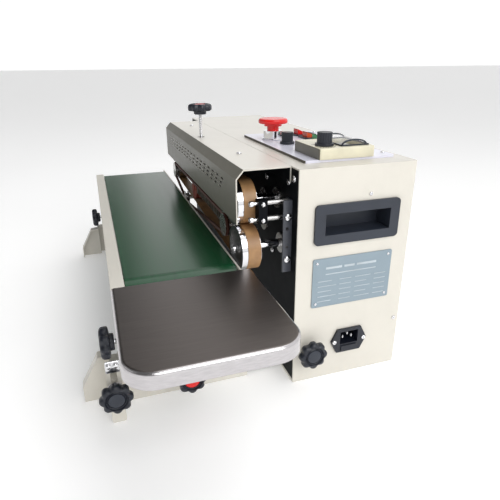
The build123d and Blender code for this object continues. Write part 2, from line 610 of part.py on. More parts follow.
def height_post():
    """Slotted upright beside the outfeed stand, hung from the conveyor."""
    y0, y1 = -213.5, -198.2
    post = block(-2.5, 0, y0, y1, 0, POST_TOP)
    post = fillet(post.edges().filter_by(Axis.X).group_by(Axis.Z)[0], 2.5)
    post -= slot_x(-3.5, 1, (y0 + y1) / 2, POST_KNOB[1] - HEIGHT_TRAVEL - 4, POST_TOP - 7, 6.6)
    return post + block(-20, 0, y1 - 1, RAIL_Y0, 61, POST_TOP)


# ---- stand --------------------------------------------------------------------------------------------------------
def stand(x, outward, knob_x, knob_z):
    """Slotted cross beam with its flared outer leg; outward is the way its plain face looks."""
    def sheet(a, b):
        return sorted((x + outward * a, x + outward * b))
    beam = block(*sheet(0, 2), -207, -48, 0, 58) + block(*sheet(-12, 0), -207, -48, 56, 58)
    beam -= slot_y(*sheet(-1, 3), BEAM_KNOB[0] - 4, BEAM_KNOB[0] + 36, BEAM_KNOB[1], 6.6)
    leg = plate_x(*sheet(-14, -12), [(-207, 0), (-207, 58), (-222, 56), (LEG_Y0, 20), (LEG_Y0, 0)])
    joiner = block(*sheet(-14, 2), -209, -207, 0, 58)
    flange = plate_x(*sheet(-26, -12), [(-207, 58), (-222, 56), (LEG_Y0, 20), (LEG_Y0, 0), (LEG_Y0 + 2, 0),
                                        (LEG_Y0 + 2, 19.5), (-221, 54), (-207, 56)])
    tab = block(knob_x - 9, knob_x + 9, -195.3, -193.3, 50, knob_z + HEIGHT_TRAVEL + 8)
    tab += block(min(x, knob_x), max(x, knob_x), -195.3, -193.3, 50, 57)
    tab -= slot_z(knob_x, -197, -192, knob_z - 4, knob_z + HEIGHT_TRAVEL + 4, 2 * (STUD_R + GAP))
    frame = beam + leg + joiner + flange + tab
    if outward > 0:
        frame += block(x, -3, -211, -200.6, 36, 54) - rod_x(-13, -2, *POST_KNOB, STUD_R + GAP)
    return frame


def slot_y(x0, x1, y0, y1, z, width):
    """The tool for a level slot through a plate that faces X."""
    r = width / 2
    return block(x0, x1, y0, y1, z - r, z + r) + rod_x(x0, x1, y0, z, r) + rod_x(x0, x1, y1, z, r)


def slot_z(x, y0, y1, z0, z1, width):
    """The tool for an upright slot through a plate that faces Y."""
    r = width / 2
    return block(x - r, x + r, y0, y1, z0 + r, z1 - r) + rod_y(x, y0, y1, z0 + r, r) + rod_y(x, y0, y1, z1 - r, r)


def beam_guides():
    """Plates from the case's front, on which the stand's beams slide."""
    guides = []
    for x, outward in zip(STAND_X, (1, -1)):
        a, b = sorted((x - outward * 0.4, x - outward * 3.4))
        guides.append(block(a, b, -138, 0, 4, 55))
    return guides


def clamp_knobs():
    """The five clamp knobs, each at its place with its stud."""
    return {
        "knob_height_post": Pos(6, *POST_KNOB) * Rot(0, 90, 0) * star_knob(stud=14.0),
        "knob_case_end": Pos(6, *CASE_KNOB) * Rot(0, 90, 0) * star_knob(stud=12.0),
        "knob_beam": Pos(-9, *BEAM_KNOB) * Rot(0, 90, 0) * star_knob(stud=24.6),
        "knob_leg_outfeed": Pos(LEG_KNOB_X[0], -200.5, LEG_KNOB_Z[0]) * Rot(90, 0, 0) * star_knob(stud=6.6),
        "knob_leg_infeed": Pos(LEG_KNOB_X[1], -200.5, LEG_KNOB_Z[1]) * Rot(90, 0, 0) * star_knob(stud=6.6),
    }


def main():
    os.makedirs("parts", exist_ok=True)
    save("case_shell", case_shell())
    save("base_plate", base_plate())
    save("mounting_plate", mounting_plate())
    save("hood", hood())
    save("control_panel", control_panel())
    save("cover_screws", *cover_screws())
    save("emergency_collar", emergency_collar())
    save("emergency_button", emergency_button())
    save("speed_knob", control_knob(SPEED, PANEL_Z, 7.5, 15.0, 255))
    save("controller_housing", controller_housing())
    save("temperature_dial", control_knob(DIAL, PANEL_Z + CONTROL_H, 8.5, 15.0, PANEL_Z + 2))
    save("meter_glass", meter_glass())
    save("meter_needle", meter_needle())
    save("rocker_bezels", *rocker_bezels())
    for name, x in ROCKERS.items():
        save(name, rocker(x))
    save("carry_handles", carry_handle(1), carry_handle(-1))
    save("data_plate", data_plate())
    save("power_inlet", power_inlet())
    save("fuse_drawer", fuse_drawer())
    save("side_bracket", side_bracket())
    save("heater_upper", heater_block(*HEATER_UPPER))
    save("heater_lower", heater_block(*HEATER_LOWER))
    save("cooler_upper", cooler_block(*COOLER_UPPER, COOLER_UPPER[0] + 8, COOLER_UPPER[1] + 1))
    save("cooler_lower", cooler_block(*COOLER_LOWER, COOLER_LOWER[0] - 1, COOLER_LOWER[1] - 8))
    upper, lower = sealing_bands()
    save("seal_band_upper", upper)
    save("seal_band_lower", lower)
    upper, lower = guide_belts()
    save("guide_belt_upper", upper)
    save("guide_belt_lower", lower)
    save("block_posts", *block_posts())
    save("shaft_bearings", *shaft_bearings())
    upper_wheel = band_wheel(UPPER_DRIVE_X, UPPER_DRIVE_Z, DRIVE_R, DRIVE_R + 1.6)
    lower_wheel = band_wheel(LOWER_DRIVE_X, LOWER_DRIVE_Z, DRIVE_R, DRIVE_R + 1.6)
    line = degrees(atan2(UPPER_DRIVE_Z - LOWER_DRIVE_Z, UPPER_DRIVE_X - LOWER_DRIVE_X))
    half_tooth = 180 / GEAR_TEETH
    save("drive_wheel_lower", lower_wheel, spur_gear(LOWER_DRIVE_X, LOWER_DRIVE_Z, line))
    save("drive_wheel_upper", upper_wheel, spur_gear(UPPER_DRIVE_X, UPPER_DRIVE_Z, line + 180 + half_tooth))
    save("idler_wheel_upper", idler_wheel(UPPER_IDLER_Z))
    save("idler_wheel_lower", idler_wheel(LOWER_IDLER_Z))
    save("press_wheel_upper", press_wheel(UPPER_PRESS_Z, PRESS_UPPER_R)
         + rod_y(PRESS_X, BAND_Y - 8, -24, UPPER_PRESS_Z, 3.0))
    save("press_wheel_lower", press_wheel(LOWER_PRESS_Z, PRESS_LOWER_R)
         + rod_y(PRESS_X, BAND_Y - 8, SHAFT_END_Y, LOWER_PRESS_Z, SHAFT_R))
    save("press_carriage", press_carriage() - rod_y(PRESS_X, -40, -20, UPPER_PRESS_Z, 3.0 + RUN))
    save("pressure_spring", pressure_spring())
    save("pressure_knob", pressure_knob())
    save("gear_motor", gear_motor())
    save("circuit_board", circuit_board())
    save("guide_pulley_upper", guide_pulley(GUIDE_X, UPPER_GUIDE_Z, GUIDE_R))
    save("guide_pulley_lower", guide_pulley(GUIDE_X, LOWER_GUIDE_Z, GUIDE_R))
    save("guide_tension_pulley", guide_pulley(TENSION_X, TENSION_Z, TENSION_R))
    save("conveyor_frame", conveyor_frame())
    save("conveyor_belt", conveyor_belt())
    save("belt_idle_roller", belt_roller(ROLLER_X[0]))
    save("belt_drive_roller", belt_roller(ROLLER_X[1]))
    save("outfeed_plate", outfeed_plate())
    save("height_post", height_post())
    save("stand_outfeed", stand(STAND_X[0], 1, LEG_KNOB_X[0], LEG_KNOB_Z[0]))
    save("stand_infeed", stand(STAND_X[1], -1, LEG_KNOB_X[1], LEG_KNOB_Z[1]))
    save("beam_guides", *beam_guides())
    for name, knob in clamp_knobs().items():
        save(name, knob)


if __name__ == "__main__":
    main()
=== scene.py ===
import json
import math

import bmesh
import bpy
from mathutils import Matrix, Vector


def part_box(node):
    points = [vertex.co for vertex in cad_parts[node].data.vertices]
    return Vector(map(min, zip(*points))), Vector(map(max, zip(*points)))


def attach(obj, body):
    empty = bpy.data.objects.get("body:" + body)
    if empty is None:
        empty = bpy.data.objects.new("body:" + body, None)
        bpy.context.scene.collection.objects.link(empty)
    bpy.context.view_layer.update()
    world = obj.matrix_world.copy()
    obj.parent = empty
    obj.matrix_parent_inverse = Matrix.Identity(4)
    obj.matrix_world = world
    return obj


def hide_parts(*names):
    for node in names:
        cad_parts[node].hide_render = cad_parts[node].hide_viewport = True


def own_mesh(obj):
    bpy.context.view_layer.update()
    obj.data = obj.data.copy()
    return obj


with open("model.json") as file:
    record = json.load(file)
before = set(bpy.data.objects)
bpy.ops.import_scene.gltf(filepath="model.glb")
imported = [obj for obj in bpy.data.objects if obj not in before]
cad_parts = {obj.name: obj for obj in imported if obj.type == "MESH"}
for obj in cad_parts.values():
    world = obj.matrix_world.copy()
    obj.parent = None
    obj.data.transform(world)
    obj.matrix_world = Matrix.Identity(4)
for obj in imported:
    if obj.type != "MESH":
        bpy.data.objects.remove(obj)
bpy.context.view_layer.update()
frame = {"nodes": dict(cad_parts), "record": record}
NODES = frame["nodes"]

MM = 0.001
# Place of the case's outfeed, front, bottom corner in the row frame.
CORNER = Vector((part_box("case_shell")[1].x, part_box("case_shell")[0].y, 0.0))


def at(x, y, z):
    """A point given in millimetres from the case's outfeed, front, bottom corner."""
    return CORNER + Vector((x, y, z)) * MM


# ---- materials ------------------------------------------------------------------------------------------
def node_material(name, colour, rough, metallic=0.0):
    """A principled material and its node tree helpers."""
    material = bpy.data.materials.new(name)
    material.use_nodes = True
    tree = material.node_tree
    shader = tree.nodes["Principled BSDF"]
    shader.inputs["Base Color"].default_value = (*colour, 1.0)
    shader.inputs["Roughness"].default_value = rough
    shader.inputs["Metallic"].default_value = metallic
    return material, tree, shader


def noise(tree, scale, detail=4.0, stretch=(1.0, 1.0, 1.0), rough=0.5):
    """Noise in object space, stretched along chosen axes."""
    coordinate = tree.nodes.new("ShaderNodeTexCoord")
    mapping = tree.nodes.new("ShaderNodeMapping")
    mapping.inputs["Scale"].default_value = stretch
    texture = tree.nodes.new("ShaderNodeTexNoise")
    texture.inputs["Scale"].default_value = scale
    texture.inputs["Detail"].default_value = detail
    texture.inputs["Roughness"].default_value = rough
    tree.links.new(coordinate.outputs["Object"], mapping.inputs["Vector"])
    tree.links.new(mapping.outputs["Vector"], texture.inputs["Vector"])
    return texture.outputs["Fac"]


def ramp(tree, source, stops):
    """A colour ramp on a grey value; stops are (position, colour)."""
    node = tree.nodes.new("ShaderNodeValToRGB")
    while len(node.color_ramp.elements) < len(stops):
        node.color_ramp.elements.new(0.5)
    for element, (position, colour) in zip(node.color_ramp.elements, stops):
        element.position = position
        element.color = (*colour, 1.0)
    tree.links.new(source, node.inputs["Fac"])
    return node.outputs["Color"]


def soft_edges(tree, radius):
    """A normal that rounds sharp edges a little, so that they catch the light."""
    node = tree.nodes.new("ShaderNodeBevel")
    node.samples = 4
    node.inputs["Radius"].default_value = radius
    return node.outputs["Normal"]


def bump(tree, shader, source, strength, distance=0.0004, edge=0.0005):
    """Bump from a grey value, over rounded edges."""
    node = tree.nodes.new("ShaderNodeBump")
    tree.links.new(soft_edges(tree, edge), node.inputs["Normal"])
    node.inputs["Strength"].default_value = strength
    node.inputs["Distance"].default_value = distance
    tree.links.new(source, node.inputs["Height"])
    tree.links.new(node.outputs["Normal"], shader.inputs["Normal"])


def vary_roughness(tree, shader, source, low, high):
    """Roughness between two values, by a grey value."""
    node = tree.nodes.new("ShaderNodeMapRange")
    node.inputs["To Min"].default_value = low
    node.inputs["To Max"].default_value = high
    tree.links.new(source, node.inputs["Value"])
    tree.links.new(node.outputs["Result"], shader.inputs["Roughness"])


def shade(colour, factor):
    """A colour made darker or lighter."""
    return tuple(min(1.0, channel * factor) for channel in colour)


def painted(name, colour, rough=0.35, peel=0.12, coat=0.25):
    """Powder coat: faint orange peel, tone drift, handling smudges and a clear gloss."""
    material, tree, shader = node_material(name, colour, rough)
    drift = noise(tree, 9.0, 6.0, rough=0.65)
    stops = ((0.25, shade(colour, 0.93)), (0.5, colour), (0.75, shade(colour, 1.03)))
    tree.links.new(ramp(tree, drift, stops), shader.inputs["Base Color"])
    bump(tree, shader, noise(tree, 900.0, 2.0), peel, 0.0002, 0.0007)
    vary_roughness(tree, shader, noise(tree, 60.0, 3.0), rough - 0.05, rough + 0.07)
    shader.inputs["Coat Weight"].default_value = coat
    shader.inputs["Coat Roughness"].default_value = 0.15
    return material


def plastic(name, colour, rough=0.4, grain=0.15, scale=1400.0):
    """Moulded plastic with a fine spark-eroded grain."""
    material, tree, shader = node_material(name, colour, rough)
    drift = noise(tree, 30.0, 3.0)
    tree.links.new(ramp(tree, drift, ((0.3, shade(colour, 0.85)), (0.7, shade(colour, 1.12)))),
                   shader.inputs["Base Color"])
    bump(tree, shader, noise(tree, scale, 2.0), grain, 0.0002)
    vary_roughness(tree, shader, noise(tree, 90.0, 2.0), rough - 0.06, rough + 0.08)
    return material


def metal(name, colour, rough, stretch=(1.0, 1.0, 1.0), scale=250.0, scratch=0.08):
    """Metal whose grain runs along the axis with the small stretch."""
    material, tree, shader = node_material(name, colour, rough, 1.0)
    grain = noise(tree, scale, 5.0, stretch, 0.6)
    tree.links.new(ramp(tree, grain, ((0.25, shade(colour, 0.86)), (0.75, shade(colour, 1.08)))),
                   shader.inputs["Base Color"])
    bump(tree, shader, grain, scratch, 0.0001)
    vary_roughness(tree, shader, grain, rough * 0.75, rough * 1.3)
    return material


def woven(name, colour, dark, scale=1500.0, rough=0.4):
    """Coated glass cloth: a fine weave under a smooth coat, with darker wear patches."""
    material, tree, shader = node_material(name, colour, rough)
    coordinate = tree.nodes.new("ShaderNodeTexCoord")
    waves = []
    for direction in ("X", "Y"):
        wave = tree.nodes.new("ShaderNodeTexWave")
        wave.bands_direction = direction
        wave.inputs["Scale"].default_value = scale * 0.2
        wave.inputs["Distortion"].default_value = 0.4
        tree.links.new(coordinate.outputs["Object"], wave.inputs["Vector"])
        waves.append(wave)
    mix = tree.nodes.new("ShaderNodeMath")
    mix.operation = "MULTIPLY"
    for index, wave in enumerate(waves):
        tree.links.new(wave.outputs["Fac"], mix.inputs[index])
    wear = noise(tree, 45.0, 5.0)
    tree.links.new(ramp(tree, wear, ((0.35, dark), (0.62, colour))), shader.inputs["Base Color"])
    bump(tree, shader, mix.outputs["Value"], 0.25, 0.0002)
    return material


def belt_pvc(name, colour):
    """Smooth green PVC belting with a soft sheen and faint track marks."""
    material, tree, shader = node_material(name, colour, 0.22)
    tracks = noise(tree, 30.0, 4.0, (0.15, 6.0, 1.0))
    tree.links.new(ramp(tree, tracks, ((0.3, shade(colour, 0.85)), (0.7, shade(colour, 1.15)))),
                   shader.inputs["Base Color"])
    bump(tree, shader, noise(tree, 700.0, 2.0), 0.05, 0.0002)
    vary_roughness(tree, shader, tracks, 0.17, 0.26)
    return material


def glass(name):
    """Clear acrylic window."""
    material, _, shader = node_material(name, (0.95, 0.97, 1.0), 0.04)
    shader.inputs["Alpha"].default_value = 0.18
    shader.inputs["Coat Weight"].default_value = 1.0
    return material


CREAM = painted("cream_powder_coat", (0.69, 0.66, 0.59))
# Painted shade: a darkened copy of the cream for sides that face the front, standing in for the shade they
# lie in.
PAINTED_SHADE = painted("cream_powder_coat_painted_shade", (0.135, 0.128, 0.10), 0.42, 0.12, 0.12)
BLACK = painted("black_powder_coat", (0.003, 0.004, 0.006), 0.6, 0.2, 0.0)
BLACK.node_tree.nodes["Principled BSDF"].inputs["Specular IOR Level"].default_value = 0.12
# Lavender film, its colour lifted partly as a painted reflection of the film's bright sheen.
PANEL = painted("lavender_film_with_painted_reflection", (0.79, 0.79, 0.90), 0.30, 0.05, 0.4)
# Painted shade: a dark olive standing in for the shade on the panel's front-facing edge.
PANEL_EDGE_PAINTED_SHADE = painted("panel_edge_painted_shade", (0.085, 0.075, 0.055), 0.5, 0.1, 0.0)
SLATE = plastic("slate_moulding", (0.024, 0.030, 0.044), 0.42)
KNOB = plastic("navy_black_moulding", (0.010, 0.013, 0.022), 0.36)
RED = plastic("red_gloss_moulding", (0.72, 0.012, 0.012), 0.22, 0.04)
AMBER = plastic("amber_rocker", (0.75, 0.10, 0.03), 0.2, 0.03)
GREEN = plastic("green_rocker", (0.02, 0.45, 0.10), 0.2, 0.03)
IVORY = plastic("ivory_moulding", (0.72, 0.68, 0.52), 0.3, 0.05)
CHROME = metal("chrome_plate", (0.82, 0.82, 0.84), 0.08, scale=80.0, scratch=0.02)
STEEL = metal("turned_steel", (0.52, 0.51, 0.50), 0.26, (1.0, 0.1, 1.0))
# Painted reflection and highlight: the outfeed top's steel is darkened for the dark surroundings it
# reflects, the rim's steel brightened.
BRUSHED_PAINTED_REFLECTION = metal("brushed_outfeed_steel_painted_reflection", (0.15, 0.133, 0.125), 0.34, (8.0, 0.35, 8.0), 90.0, 0.10)
RIM_PAINTED_HIGHLIGHT = metal("rolled_rim_steel_painted_highlight", (0.56, 0.54, 0.55), 0.22, (1.0, 1.0, 6.0), 120.0, 0.10)
ALUMINIUM = metal("sooted_aluminium", (0.15, 0.125, 0.095), 0.42, (0.2, 1.0, 1.0))
COPPER = metal("heater_bronze", (0.24, 0.13, 0.055), 0.42, (0.2, 1.0, 1.0))
DARK_STEEL = metal("blackened_steel", (0.10, 0.10, 0.105), 0.3)
BAND = woven("sealing_band_cloth", (0.50, 0.29, 0.13), (0.33, 0.18, 0.08))
GUIDE = plastic("guide_belt_rubber", (0.085, 0.022, 0.010), 0.6, 0.4, 600.0)
BELT = belt_pvc("green_belting", (0.007, 0.058, 0.022))
SILICONE = plastic("red_silicone", (0.30, 0.055, 0.03), 0.5, 0.2)
GLASS = glass("clear_window")
RATING = painted("rating_plate_lacquer", (0.25, 0.32, 0.37), 0.4, 0.04, 0.2)
BOARD = plastic("board_lacquer", (0.02, 0.16, 0.06), 0.3)
MOTOR = painted("motor_enamel", (0.07, 0.075, 0.09), 0.4)
BRACKET = painted("grey_bracket", (0.055, 0.06, 0.075), 0.4)

SLOT_MATERIAL = {
    "cream_paint": CREAM, "black_paint": BLACK, "panel_grey": PANEL, "dark_plastic": SLATE,
    "knob_plastic": KNOB, "red_plastic": RED, "amber_plastic": AMBER, "green_plastic": GREEN,
    "cream_plastic": IVORY, "chrome": CHROME, "steel": STEEL, "aluminium": ALUMINIUM,
    "copper_alloy": COPPER, "band_ptfe": BAND, "guide_belt": GUIDE, "belt_green": BELT,
    "red_rubber": SILICONE, "glass": GLASS, "plate_blue": RATING, "board_green": BOARD,
    "motor_grey": MOTOR,
}
NODE_MATERIAL = {"side_bracket": BRACKET, "meter_needle": RED}
UP, FRONT, OUTFEED = Vector((0, 0, 1)), Vector((0, -1, 0)), Vector((1, 0, 0))

# How squarely a face has to look along a direction.
LEANING, SQUARE_ON, FLAT_TOP, FLAT_FRONT = 0.4, 0.7, 0.93, 0.9
# Y behind which the hood's return flange lies, and Y in front of which the controller's front side lies.
FLANGE_Y, CONTROLLER_FRONT_Y = -3, 40
# The spacer block's far side along X, and its front and back faces.
SPACER_X, SPACER_FRONT_Y, SPACER_BACK_Y = -32, -37.1, -26.9


def hood_finish(face):
    """Cream outside with painted shade on the front-facing flap, black inside and on the return flange."""
    if face.normal.dot(OUTFEED) ** 2 > 0.5:
        return CREAM
    if face.center.y > at(0, FLANGE_Y, 0).y or face.normal.dot(FRONT + UP) < 0:
        return BLACK
    # Front-facing flap faces get the painted shade.
    return PAINTED_SHADE if face.normal.dot(FRONT) > LEANING else CREAM


def panel_finish(face):
    """Film with a painted reflection on top, and painted shade on the front-facing edge."""
    return PANEL_EDGE_PAINTED_SHADE if face.normal.dot(FRONT) > SQUARE_ON else PANEL


def controller_finish(face):
    """Ivory moulding, with painted shade (a darkened cream) on its front side."""
    outer = face.center.y < at(0, CONTROLLER_FRONT_Y, 0).y
    return PAINTED_SHADE if outer and face.normal.dot(FRONT) > SQUARE_ON else IVORY


def outfeed_finish(face):
    """Brushed top darkened as a painted reflection of dark surroundings, and a rolled rim brightened as a
    painted highlight.
    """
    return BRUSHED_PAINTED_REFLECTION if face.normal.dot(UP) > FLAT_TOP else RIM_PAINTED_HIGHLIGHT


def posts_finish(face):
    """Steel posts, black spacer block and chrome bolts."""
    if face.center.x < at(SPACER_X, 0, 0).x:
        return STEEL
    if face.center.y < at(0, SPACER_FRONT_Y, 0).y:
        return CHROME
    return BLACK if face.center.y < at(0, SPACER_BACK_Y, 0).y else STEEL


def wheel_finish(face):
    """Polished rims, and a blackened front face."""
    return DARK_STEEL if face.normal.dot(FRONT) > FLAT_FRONT else CHROME


FACE_FINISH = {
    "drive_wheel_upper": (wheel_finish, (CHROME, DARK_STEEL)),
    "drive_wheel_lower": (wheel_finish, (CHROME, DARK_STEEL)),
    "hood": (hood_finish, (CREAM, PAINTED_SHADE, BLACK)),
    "control_panel": (panel_finish, (PANEL, PANEL_EDGE_PAINTED_SHADE)),
    "controller_housing": (controller_finish, (IVORY, PAINTED_SHADE)),
    "outfeed_plate": (outfeed_finish, (RIM_PAINTED_HIGHLIGHT, BRUSHED_PAINTED_REFLECTION)),
    "block_posts": (posts_finish, (STEEL, BLACK, CHROME)),
}


def dress_cad():
    """Give every CAD node its procedural material, or one for each kind of face."""
    for part in frame["record"]["subparts"]:
        name = part["node"]
        mesh = NODES[name].data
        mesh.materials.clear()
        if name not in FACE_FINISH:
            mesh.materials.append(NODE_MATERIAL.get(name, SLOT_MATERIAL[part["material_slot"]]))
            continue
        choose, finishes = FACE_FINISH[name]
        for finish in finishes:
            mesh.materials.append(finish)
        for face in mesh.polygons:
            face.material_index = finishes.index(choose(face))


# ---- mesh helpers -----------------------------------------------------------------------------------------
SLOT = {part["node"]: part["material_slot"] for part in frame["record"]["subparts"]}
TURN_TO_X = Matrix.Rotation(math.radians(90), 4, "Y")
TURN_TO_FRONT = Matrix.Rotation(math.radians(90), 4, "X")


def piece(name, mesh, material, body, matrix=Matrix.Identity(4), sharp=35.0):
    """Turn a bmesh in millimetres into one named piece that rides on a body."""
    mesh.transform(matrix @ Matrix.Diagonal((MM, MM, MM, 1.0)))
    bmesh.ops.recalc_face_normals(mesh, faces=mesh.faces)
    data = bpy.data.meshes.new(name)
    mesh.to_mesh(data)
    mesh.free()
    data.shade_smooth()
    data.set_sharp_from_angle(angle=math.radians(sharp))
    data.materials.append(material)
    result = bpy.data.objects.new(name, data)
    bpy.context.scene.collection.objects.link(result)
    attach(result, body)
    return result


def lathe(profile, segments=48, radius_at=None):
    """A closed turned shape about Z from (radius, height) pairs that start and end on the axis."""
    mesh = bmesh.new()
    rings = []
    for radius, height in profile:
        if radius == 0:
            rings.append([mesh.verts.new((0, 0, height))])
            continue
        ring = []
        for index in range(segments):
            angle = 2 * math.pi * index / segments
            reach = radius_at(radius, height, angle) if radius_at else radius
            ring.append(mesh.verts.new((reach * math.cos(angle), reach * math.sin(angle), height)))
        rings.append(ring)
    for lower, upper in zip(rings, rings[1:]):
        for index in range(segments):
            following = (index + 1) % segments
            corners = {id(v): v for v in (lower[index % len(lower)], lower[following % len(lower)],
                                          upper[following % len(upper)], upper[index % len(upper)])}
            mesh.faces.new(corners.values())
    return mesh


def add_box(mesh, low, high, bevel=0.0):
    """A box between two corners, with rounded edges."""
    made = bmesh.ops.create_cube(mesh, size=1.0)["verts"]
    for vert in made:
        for axis in range(3):
            vert.co[axis] = low[axis] + (vert.co[axis] + 0.5) * (high[axis] - low[axis])
    if bevel:
        edges = {edge for vert in made for edge in vert.link_edges}
        bmesh.ops.bevel(mesh, geom=list(edges), offset=bevel, segments=2, affect="EDGES")


def add_mesh(target, other, matrix):
    """Copy one bmesh into another."""
    copies = {vert: target.verts.new(matrix @ vert.co) for vert in other.verts}
    for face in other.faces:
        target.faces.new([copies[vert] for vert in face.verts])
    other.free()


def from_corner(x, y, z):
    """Matrix from machine millimetres, at a point, to the row frame."""
    return Matrix.Translation(at(x, y, z))


# ---- light, floor and camera ------------------------------------------------------------------------------
CAMERA_PLACE = (424.5, -195.4, 364.4)
CAMERA_YAW, CAMERA_PITCH, CAMERA_ROLL = 161.55, -22.05, -0.45
CAMERA_LENS, SENSOR = 33.17, 36.0
FLOOR_SIZE, FLOOR_Z, FLOOR_GLOW = 40.0, -0.0002, 0.22
# Where the surroundings turn bright: by a direction's Y, going back, and by its Z, going down.
BRIGHT_BEHIND, BRIGHT_BELOW = (0.03, 0.10), (0.20, 0.12)
DARK_STRENGTH, BRIGHT_STRENGTH = 0.16, 1.05
LIGHT_TARGET = (0.0, 0.0, 0.15)
# Name, place, size and power of each soft box.
SOFT_BOXES = (
    ("key_box", (1.7, 0.25, 1.3), (1.3, 1.3), 20.0),
    ("top_box", (-0.1, 0.4, 2.0), (1.6, 1.2), 7.0),
    ("front_box", (-0.2, -2.0, 1.2), (1.6, 0.9), 2.0),
)


def make_camera():
    """Camera beyond the outfeed end, a little in front of the conveyor's front rail."""
    yaw, pitch = math.radians(CAMERA_YAW), math.radians(CAMERA_PITCH)
    look = Vector((math.cos(yaw) * math.cos(pitch), math.sin(yaw) * math.cos(pitch), math.sin(pitch)))
    data = bpy.data.cameras.new("camera")
    data.lens = CAMERA_LENS
    data.sensor_width = SENSOR
    data.clip_start = 0.01
    camera = bpy.data.objects.new("camera", data)
    bpy.context.scene.collection.objects.link(camera)
    turn = look.to_track_quat("-Z", "Y").to_matrix().to_4x4()
    roll = Matrix.Rotation(math.radians(CAMERA_ROLL), 4, "Z")
    camera.matrix_world = Matrix.Translation(at(*CAMERA_PLACE)) @ turn @ roll
    bpy.context.scene.camera = camera


def make_floor():
    """Plain pale floor."""
    mesh = bmesh.new()
    bmesh.ops.create_grid(mesh, x_segments=8, y_segments=8, size=FLOOR_SIZE)
    data = bpy.data.meshes.new("floor")
    mesh.to_mesh(data)
    mesh.free()
    floor = bpy.data.objects.new("floor", data)
    floor.location = (0, 0, FLOOR_Z)
    bpy.context.scene.collection.objects.link(floor)
    material, tree, shader = node_material("floor_paper", (0.93, 0.93, 0.93), 0.85)
    tone = noise(tree, 2.0, 2.0)
    tree.links.new(ramp(tree, tone, ((0.3, (0.91, 0.91, 0.91)), (0.7, (0.95, 0.95, 0.95)))),
                   shader.inputs["Base Color"])
    shader.inputs["Emission Color"].default_value = (1.0, 1.0, 1.0, 1.0)
    shader.inputs["Emission Strength"].default_value = FLOOR_GLOW
    data.materials.append(material)


def area_light(name, place, target, size, power):
    """A soft area light aimed at a point."""
    data = bpy.data.lights.new(name, "AREA")
    data.shape = "RECTANGLE"
    data.size, data.size_y = size
    data.energy = power
    light = bpy.data.objects.new(name, data)
    bpy.context.scene.collection.objects.link(light)
    aim = (Vector(target) - Vector(place)).to_track_quat("-Z", "Y")
    light.matrix_world = Matrix.Translation(place) @ aim.to_matrix().to_4x4()


def world_step(tree, source, low, high):
    """0 below one value of a direction's component and 1 above another."""
    step = tree.nodes.new("ShaderNodeMapRange")
    step.interpolation_type = "SMOOTHSTEP"
    step.inputs["From Min"].default_value = low
    step.inputs["From Max"].default_value = high
    tree.links.new(source, step.inputs["Value"])
    return step.outputs["Result"]


def make_world():
    """White surroundings, with a dark side high above the front that the belt and the steel reflect."""
    world = bpy.data.worlds.new("studio")
    bpy.context.scene.world = world
    world.use_nodes = True
    tree = world.node_tree
    coordinate = tree.nodes.new("ShaderNodeTexCoord")
    split = tree.nodes.new("ShaderNodeSeparateXYZ")
    tree.links.new(coordinate.outputs["Generated"], split.inputs["Vector"])
    behind = world_step(tree, split.outputs["Y"], *BRIGHT_BEHIND)
    low_down = world_step(tree, split.outputs["Z"], *BRIGHT_BELOW)
    either = tree.nodes.new("ShaderNodeMath")
    either.operation = "MAXIMUM"
    tree.links.new(behind, either.inputs[0])
    tree.links.new(low_down, either.inputs[1])
    strength = tree.nodes.new("ShaderNodeMapRange")
    strength.inputs["To Min"].default_value = DARK_STRENGTH
    strength.inputs["To Max"].default_value = BRIGHT_STRENGTH
    tree.links.new(either.outputs["Value"], strength.inputs["Value"])
    background = tree.nodes["Background"]
    background.inputs["Color"].default_value = (1.0, 1.0, 1.0, 1.0)
    tree.links.new(strength.outputs["Result"], background.inputs["Strength"])


def make_light():
    """Soft boxes at the outfeed end, above and in front."""
    bpy.context.scene.view_settings.view_transform = "Standard"
    make_world()
    for name, place, size, power in SOFT_BOXES:
        area_light(name, place, LIGHT_TARGET, size, power)


# ---- star knobs -------------------------------------------------------------------------------------------
# Height of a knob's head from its back face to its front.
KNOB_BACK = 15.0
LOBES, LOBE_FROM, LOBE_ROOT, LOBE_DEPTH, LOBE_BLEND, LOBE_SHARPNESS = 8, 12, 11.5, 2.5, 4.0, 1.4
THREAD_PITCH, THREAD_RISE, THREAD_FALL = 1.0, 0.35, 0.7
KNOB_PROFILE = (
    (0, 0.2), (8.2, 0.2), (9.0, 1.0), (9.2, 4.4), (13.6, 4.9), (16.4, 5.4), (17.4, 6.6), (17.5, 9.6),
    (17.3, 12.2), (16.2, 13.8), (14.2, 14.7), (12.4, 14.9), (11.6, 14.3), (11.2, 13.2), (10.6, 12.9),
    (10.0, 13.5), (9.5, 13.9), (9.1, 13.6), (8.9, 12.6), (0, 12.6))
CAP_PROFILE = ((0, 12.7), (8.6, 12.7), (8.6, 13.5), (8.2, 14.1), (6.8, 14.5), (4.0, 14.75), (0, 14.85))


def lobed(radius, _height, angle):
    """Eight soft lobes on the outer part of a knob."""
    if radius < LOBE_FROM:
        return radius
    valley = (0.5 - 0.5 * math.cos(LOBES * angle)) ** LOBE_SHARPNESS
    return radius - LOBE_DEPTH * valley * min(1.0, (radius - LOBE_ROOT) / LOBE_BLEND)


def threaded(root, crest, length):
    """A stud that hangs below Z = 0, with rolled thread rings and a chamfered end."""
    profile = [(0, -length), (root - 0.6, -length), (root, -length + 0.8)]
    height = -length + 1.2
    while height < -0.6:
        profile += [(root, height), (crest, height + THREAD_RISE), (root, height + THREAD_FALL)]
        height += THREAD_PITCH
    return profile + [(root, 0.4), (0, 0.4)]


